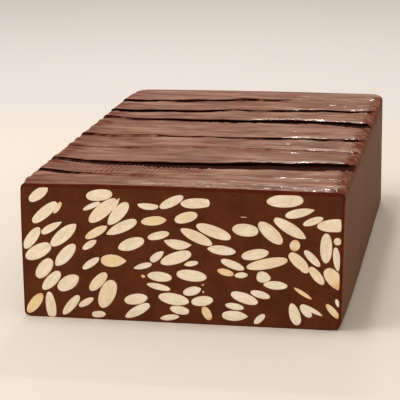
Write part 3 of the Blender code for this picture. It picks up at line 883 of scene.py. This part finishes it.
def wander(number, x):
    """The wavering of the hand that drew a furrow, in millimetres."""
    return 0.5 * ripple(x, 0, 17, 1, number) + 0.18 * ripple(x, 0, 4.2, 1, number + 20)


def lip_height(number, x):
    """How high a furrow's lip stands here, in millimetres: uneven, and lower at the right end."""
    heights = FURROWS[number][2]
    uneven = 0.5 * ripple(x, 0, 15, 1, number + 40) + 0.4 * ripple(x, 0, 4.4, 1, number + 50)
    ending = 1 - 0.6 * smooth_step(*LIP_ENDING, (x - LEFT) / MM)
    return at_station(heights, x) * (1 + uneven) * ending


def relief(x, y):
    """The top's unevenness: its height in metres, and its painted shade, with dark patches at the
    left.
    """
    along = (x - LEFT) / MM
    back = (y - FRONT) / MM
    streaks = ripple(x, y, *STREAKS)
    fine = ripple(x, y, *FINE_STREAKS)
    height = SWELL_HEIGHT * ripple(x, y, *SWELLS) + STREAK_HEIGHT * streaks + FINE_HEIGHT * fine
    # Painted shade in the low streaks.
    dark = STREAK_SHADE * smooth_step(0.05, -0.35, streaks + 0.4 * fine)
    combed = smooth_step(*COMB_LEFT, along) * (1 - smooth_step(*COMB_RIGHT, along))
    combed *= smooth_step(*COMB_FRONT, back) * (1 - smooth_step(*COMB_BACK, back))
    if combed > 0:
        drift = COMB_DRIFT * ripple(x, y, *STROKE_DRIFT)
        stroke = math.sin(2 * math.pi * (along - COMB_SLANT * back + drift) / COMB_PITCH)
        height = height * (1 - 0.6 * combed) + combed * COMB_HEIGHT * stroke
        # Painted shade between the comb strokes.
        dark += combed * COMB_SHADE * smooth_step(0.3, -0.7, stroke)
    folded = smooth_step(*FOLD_START, along)
    if folded > 0:
        fold = abs(ripple(x, y + FOLD_SLANT * (x - RIGHT), *FOLDS))
        height += folded * (FOLD_RISE - FOLD_DEPTH * fold)
        # Painted shade deep in the folds.
        dark += folded * MOST_SHADE * smooth_step(0.02, 0.24, fold)
    crinkled = (1 - smooth_step(*CRINKLE_BACK, back)) * smooth_step(*CRINKLE_START, along)
    if crinkled > 0:
        height += crinkled * CRINKLE_HEIGHT * ripple(x, y, *CRINKLES)
    patches = smooth_step(-0.3, 0.4, ripple(x, y, *LEFT_END_PATCHES))
    dark += LEFT_END_SHADE * (1 - smooth_step(*LEFT_END, along)) * patches
    swollen = smooth_step(*SWOLLEN_FRONT, back) * (1 - smooth_step(*SWOLLEN_END, along))
    return (height + SWOLLEN_HEIGHT * swollen - BAND_SINK) * MM, min(dark, MOST_SHADE)


def polish(row, x, y):
    """How glossy the coat is: along the lips and the sawn edge on the right, and in sparks."""
    along = (x - LEFT) / MM
    back = (y - FRONT) / MM
    uneven = ripple(x, y, *GLOSS_LENGTHS) + 0.5 * ripple(x, y, *GLOSS_BREAKS)
    lengths = smooth_step(-0.15, 0.2, uneven)
    gloss = 0.0
    if row[0] == "lip":
        share, plain, lean, high, dark = row[2]
        if high > GLOSSY_HEIGHT and plain < GLOSSY_REACH:
            gloss = smooth_step(*LIP_GLOSS, along)
    elif row[0] == "edge":
        gloss = smooth_step(*EDGE_GLOSS, along)
    if back < GLINT_REACH:
        glints = smooth_step(-0.25, 0.05, ripple(x, y, *FRONT_GLINTS))
        gloss = max(gloss, smooth_step(*GLINT_START, along) * glints)
    sparks = smooth_step(0.42, 0.5, ripple(x, y, *SPARKS)) * smooth_step(*SPARK_START, along)
    return max(gloss * lengths, SPARK_GLOSS * sparks) * (1 - smooth_step(*GLOSS_ENDING, along))


def coat_rows():
    """The rows of the coat, front to back: a rounding at the cut, then each band with the furrow
    and the lip behind it, then the last band and the rounding of the far end."""
    rows = []
    for degrees in EDGE_TURNS:
        turn = math.radians(degrees)
        rows.append(("edge", 1 - math.cos(turn), 1 - math.sin(turn)))
    before = CUT_FADE
    for number in range(len(FURROWS)):
        count = max(3, round((FURROWS[number][0][2] - before) / BAND_STEP))
        for step in range(1, count):
            rows.append(("band", number, step / count))
        for row in LIP:
            rows.append(("lip", number, row))
        before = FURROWS[number][1][2] + LAST_LIP_REACH
    reach = (BACK - FRONT - END_CORNER_RADIUS) / MM
    count = max(3, round((reach - before) / BAND_STEP))
    for step in range(1, count):
        rows.append(("band", len(FURROWS), step / count))
    for degrees in END_TURNS:
        rows.append(("end", degrees))
    return rows


def lip_point(number, row, x, strength):
    """A furrow row's distance from the cut in millimetres, height in metres, and painted shade."""
    share, plain, lean, high, dark = row
    front = at_station(FURROWS[number][0], x)
    lip = at_station(FURROWS[number][1], x)
    height = lip_height(number, x)
    lean *= min(1.0, height / LEAN_HEIGHT)
    distance = front + share * (lip - front) + plain + wander(number, x) - lean * strength
    if share < 0.5:
        distance += 0.6 * height * ripple(x, 0, 3.6, 1, number + 60)
        distance += 0.5 * ripple(x, 0, 8.0, 1, number + 80)
        distance += 0.45 * height * ripple(x, 0, 1.9, 1, number + 90)
    if share == 1.0 and plain > 0.3:
        # The painted shade under the lips is lighter towards the right end.
        dark *= 1 - 0.4 * smooth_step(*LIP_PALER, (x - LEFT) / MM)
    return distance, max(height * high, -DEEPEST) * MM, dark * smooth_step(0.1, 1.5, height)


def far_end(inset, inset_right, degrees, point):
    """A point of a row round the far end, narrower and lower than the block's section."""
    radius = END_CORNER_RADIUS - inset
    top_radius = END_TOP_RADIUS - inset
    reach = radius * math.sin(math.radians(degrees))
    narrower = radius * (1 - math.cos(math.radians(degrees)))
    past = max(0.0, reach - (radius - top_radius))
    lower = top_radius - math.sqrt(max(0.0, top_radius**2 - past**2))
    share = max(0.0, min(1.0, (point.z - BLOCK_HEIGHT / 2) / (BLOCK_HEIGHT / 2)))
    half = (RIGHT - LEFT) / 2
    y = BACK - inset - radius + reach
    side = straightened(point.x, y, point.z, inset_right)
    return Vector((side * (1 - narrower / half), y, point.z - lower * share))


def place_on_coat(row, point, out):
    """Where a corner of the coat's outside goes, its painted shade, and how glossy it is."""
    depth_below_top = max(0.0, BLOCK_HEIGHT - TOP_CROWN - point.z)
    strength = max(0.0, 1 - depth_below_top / SIDE_FADE)
    kind = row[0]
    if kind == "end":
        return far_end(0.0, 0.0, row[1], point), 0.0, 0.0
    height = 0.0
    hollow = 0.0
    if kind == "edge":
        distance = row[1] * FRONT_ROUNDING / MM
    elif kind == "lip":
        distance, height, hollow = lip_point(row[1], row[2], point.x, strength)
    else:
        number, share = row[1], row[2]
        start = 1.0
        if number > 0:
            start = lip_point(number - 1, LIP[-1], point.x, strength)[0]
        end = (BACK - FRONT - END_CORNER_RADIUS) / MM
        if number < len(FURROWS):
            end = lip_point(number, LIP[0], point.x, strength)[0]
        distance = start + (end - start) * share
    y = FRONT + distance * MM
    along = (point.x - LEFT) / MM
    from_end = smooth_step(0, END_FADE, (BACK - END_CORNER_RADIUS - y) / MM)
    from_cut = smooth_step(0, CUT_FADE, distance) if kind != "edge" else 0.0
    own_height, own_shade_and_patches = relief(point.x, y)
    moved = height + own_height * from_end * from_cut
    if kind == "edge":
        moved -= row[2] * FRONT_ROUNDING
        # The rounding at the cut gets painted shade on its left part.
        own_shade_and_patches = SAWN_SHADE * (1 - smooth_step(*SAWN_SHADE_ENDING, along))
    burr = SAW_BURR * smooth_step(*BURR_START, along) * (1 + 0.7 * ripple(point.x, 0, 6, 1, 12))
    moved += burr * (1 - smooth_step(0, BURR_REACH, distance))
    moved = max(moved, -DEEPEST * MM)
    placed = point + out * moved * strength
    placed.x = straightened(placed.x, y, placed.z, 0.0)
    placed.x = max(LEFT, min(RIGHT, placed.x))
    placed.z = min(placed.z, block_high.z)
    placed.y = y
    gloss = polish(row, point.x, y) * (1 - smooth_step(0.3, 0.5, hollow))
    return placed, min(1.0, hollow + own_shade_and_patches) * strength, gloss * strength


def chain_edges(verts):
    """The edges that join a row of corners, one after the other."""
    edges = []
    for first, second in zip(verts, verts[1:]):
        edges.append(next(edge for edge in first.link_edges if edge.other_vert(first) == second))
    return edges


def comb_coat():
    """The coat's mesh: an outer and an inner grid laid over the block, joined at cut and feet."""
    outside = section_line((0.0, 0.0, 0.0), COAT_RADII, COAT_FOOT)
    inside = section_line((COAT_LEFT, COAT_TOP, COAT_RIGHT), CORE_RADII, COAT_FOOT)
    rows = coat_rows()
    columns = len(outside)
    bm = bmesh.new()
    # The furrow attribute holds the top's painted shade, with the left end's darker patches.
    shade_and_patches_layer = bm.verts.layers.float.new("furrow")
    gloss_layer = bm.verts.layers.float.new("gloss")
    top_layer = bm.verts.layers.float.new("top")
    made = bmesh.ops.create_grid(bm, x_segments=columns - 1, y_segments=len(rows) - 1, size=1.0)
    outer = made["verts"]
    for index, vert in enumerate(outer):
        row, column = divmod(index, columns)
        point, out = outside[column]
        vert.co, vert[shade_and_patches_layer], vert[gloss_layer] = place_on_coat(rows[row], point, out)
        tipped = math.cos(math.radians(rows[row][1])) if rows[row][0] == "end" else 1.0
        vert[top_layer] = max(0.0, out.z) * tipped
    inner_columns = len(inside)
    made = bmesh.ops.create_grid(
        bm, x_segments=inner_columns - 1, y_segments=BODY_STEPS + len(END_TURNS) - 1, size=1.0)
    inner = made["verts"]
    for index, vert in enumerate(inner):
        row, column = divmod(index, inner_columns)
        point = inside[column][0]
        if row < BODY_STEPS:
            y = FRONT + (BACK - FRONT - END_CORNER_RADIUS) * row / BODY_STEPS
            vert.co = Vector((straightened(point.x, y, point.z, COAT_RIGHT), y, point.z))
        else:
            vert.co = far_end(COAT_END, COAT_RIGHT, END_TURNS[row - BODY_STEPS], point)
    outer_front = chain_edges(outer[:columns])
    inner_front = chain_edges(inner[:inner_columns])
    strip = bmesh.ops.bridge_loops(bm, edges=outer_front + inner_front)
    for face in strip["faces"]:
        face.material_index = 1
    bm.faces.new(outer[-columns:])
    bm.faces.new(inner[-inner_columns:])
    open_edges = [edge for edge in bm.edges if edge.is_boundary]
    bmesh.ops.holes_fill(bm, edges=open_edges, sides=0)
    bmesh.ops.recalc_face_normals(bm, faces=bm.faces)
    return bm


coat_look, tree, shader = new_material("combed chocolate", 0.5, 0.05)
place = tree.nodes.new("ShaderNodeTexCoord")
top_mask = add_node(tree, "ShaderNodeAttribute", attribute_name="top")
on_top = top_mask.outputs["Fac"]
drawn_out = add_node(
    tree, "ShaderNodeMapping", {"Vector": place.outputs["Object"], "Scale": (0.2, 1.0, 0.5)}
)
streaks_and_sheen = add_mottle(
    tree, drawn_out.outputs["Vector"], CHOCOLATE_DARK, TOP_LIGHT_WITH_SHEEN, 150.0, 720.0
)
upright = add_node(
    tree, "ShaderNodeMapping", {"Vector": place.outputs["Object"], "Scale": (1.0, 1.0, 0.2)}
)
drained = add_mottle(tree, upright.outputs["Vector"], SIDE_DARK, SIDE_LIGHT, 110.0, 420.0)
# The top takes the streaked colours with their painted sheen, and the sides their own chocolate
# colours.
color = mix_colors(tree, on_top, drained.outputs["Color"], streaks_and_sheen.outputs["Color"])
# The furrow attribute's painted shade turns the colour to the shade brown, and deep in the furrows
# to near-black.
furrow = add_node(tree, "ShaderNodeAttribute", attribute_name="furrow")
shade_and_patches_share = add_node(
    tree,
    "ShaderNodeMapRange",
    {"Value": furrow.outputs["Fac"], "From Min": 0.0, "From Max": MOST_SHADE},
)
deep_painted_shade = add_node(
    tree,
    "ShaderNodeMapRange",
    {"Value": furrow.outputs["Fac"], "From Min": 0.35, "From Max": 0.9},
)
color = mix_colors(tree, shade_and_patches_share.outputs["Result"], color, PAINTED_SHADE_BROWN)
color = mix_colors(tree, deep_painted_shade.outputs["Result"], color, PAINTED_DEEP_SHADE)
tree.links.new(color, shader.inputs["Base Color"])
relief_height = add_node(
    tree,
    "ShaderNodeMix",
    {"Factor": on_top, "A": drained.outputs["Height"], "B": streaks_and_sheen.outputs["Height"]},
)
bump = add_node(
    tree,
    "ShaderNodeBump",
    {"Strength": 0.6, "Distance": 0.4 * MM, "Height": relief_height.outputs["Result"]},
)
tree.links.new(bump.outputs["Normal"], shader.inputs["Normal"])
rubbed = add_node(
    tree,
    "ShaderNodeMapRange",
    {
        "Value": streaks_and_sheen.outputs["Height"],
        "From Min": 0.4,
        "From Max": 0.6,
        "To Min": 0.4,
        "To Max": 0.6,
    },
)
matt_sides = add_node(
    tree, "ShaderNodeMix", {"Factor": on_top, "A": SIDE_ROUGHNESS, "B": rubbed.outputs["Result"]}
)
shine = add_node(
    tree,
    "ShaderNodeMix",
    {"Factor": deep_painted_shade.outputs["Result"], "A": matt_sides.outputs["Result"], "B": 1.0},
)
tree.links.new(shine.outputs["Result"], shader.inputs["Roughness"])
gloss = add_node(tree, "ShaderNodeAttribute", attribute_name="gloss")
tree.links.new(gloss.outputs["Fac"], shader.inputs["Coat Weight"])
shader.inputs["Coat Roughness"].default_value = 0.16

cut_coat_look, tree, shader = new_material("sawn chocolate", 0.5, 0.06)
place = tree.nodes.new("ShaderNodeTexCoord")
mottled = add_mottle(
    tree, place.outputs["Object"], CUT_CHOCOLATE_DARK, CUT_CHOCOLATE_LIGHT, 200.0, 1200.0
)
tree.links.new(mottled.outputs["Color"], shader.inputs["Base Color"])

coat = finish_piece("combed_coat", comb_coat(), [coat_look, cut_coat_look], 60)
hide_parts("coating")


# The floor: one flat sheet of matt pale paper under and behind the block, warm near it and a cooler
# grey further back.
NEAR_PAPER = (214, 204, 193)
FAR_PAPER = (207, 202, 200)
PAPER_SIDE = 3.0
FAR_START = 0.36
FAR_FULL = 0.5
bm = bmesh.new()
bmesh.ops.create_grid(bm, x_segments=1, y_segments=1, size=PAPER_SIDE)
paper = bpy.data.meshes.new("paper")
bm.to_mesh(paper)
bm.free()
paper_look, tree, shader = new_material("pale paper", 0.9, 0.2)
place = tree.nodes.new("ShaderNodeTexCoord")
distance = add_node(tree, "ShaderNodeSeparateXYZ", {"Vector": place.outputs["Object"]})
far = add_node(
    tree,
    "ShaderNodeMapRange",
    {"Value": distance.outputs["Y"], "From Min": FAR_START, "From Max": FAR_FULL},
)
color = mix_colors(tree, far.outputs["Result"], NEAR_PAPER, FAR_PAPER)
tree.links.new(color, shader.inputs["Base Color"])
paper.materials.append(paper_look)
backdrop = bpy.data.objects.new("backdrop", paper)
bpy.context.scene.collection.objects.link(backdrop)


# The light: a broad soft window on the left, small lamps above and behind that glint along the
# lips, and pale light from all round.
WORLD_COLOR = (1.0, 0.925, 0.83, 1.0)
WORLD_STRENGTH = 0.84


def hang_light(name, place, target, size, power, color):
    """Hangs a flat lamp in the room, facing its target: sizes in metres, power in watts."""
    data = bpy.data.lights.new(name, "AREA")
    data.shape = "RECTANGLE"
    data.size, data.size_y = size
    data.energy = power
    data.color = color
    light = bpy.data.objects.new(name, data)
    light.location = place
    light.rotation_euler = (Vector(target) - Vector(place)).to_track_quat("-Z", "Y").to_euler()
    bpy.context.scene.collection.objects.link(light)


hang_light(
    "window left", place=(-1.25, -0.55, 1.15), target=(0.0, 0.0, 0.05), size=(1.0, 1.0), power=14,
    color=(0.96, 0.99, 1.0),
)
hang_light(
    "lamp above", place=(-0.13, -0.02, 1.25), target=(0.0, 0.0, 0.05), size=(0.2, 0.12), power=3,
    color=(1.0, 0.97, 0.93),
)
hang_light(
    "lamp behind", place=(-0.11, 0.95, 1.0), target=(0.0, 0.0, 0.08), size=(0.22, 0.04), power=3,
    color=(1.0, 0.98, 0.95),
)
world = bpy.data.worlds.new("room")
world.use_nodes = True
sky = world.node_tree.nodes["Background"]
sky.inputs["Color"].default_value = WORLD_COLOR
sky.inputs["Strength"].default_value = WORLD_STRENGTH
bpy.context.scene.world = world
bpy.context.scene.view_settings.view_transform = "Standard"


# The camera: a long lens a metre away, a little to the right and above, aimed at the top edge of
# the cut face. Its place was fitted to the block's corners.
CAMERA_TARGET = Vector((12.48 * MM, FRONT, 77.62 * MM))
CAMERA_DISTANCE = 905.2 * MM
CAMERA_AZIMUTH = math.radians(10.791)
CAMERA_ELEVATION = math.radians(14.447)
CAMERA_ROLL = math.radians(-0.762)
CAMERA_SENSOR = 36.0
CAMERA_LENS = 137.7
back = Vector((
    math.sin(CAMERA_AZIMUTH) * math.cos(CAMERA_ELEVATION),
    -math.cos(CAMERA_AZIMUTH) * math.cos(CAMERA_ELEVATION),
    math.sin(CAMERA_ELEVATION),
))
right = (-back).cross(Vector((0, 0, 1))).normalized()
up = right.cross(-back)
side = math.cos(CAMERA_ROLL) * right + math.sin(CAMERA_ROLL) * up
top = -math.sin(CAMERA_ROLL) * right + math.cos(CAMERA_ROLL) * up
camera_data = bpy.data.cameras.new("camera")
camera_data.sensor_width = CAMERA_SENSOR
camera_data.lens = CAMERA_LENS
camera = bpy.data.objects.new("camera", camera_data)
facing = Matrix((side, top, back)).transposed().to_4x4()
camera.matrix_world = Matrix.Translation(CAMERA_TARGET + back * CAMERA_DISTANCE) @ facing
bpy.context.scene.collection.objects.link(camera)
bpy.context.scene.camera = camera
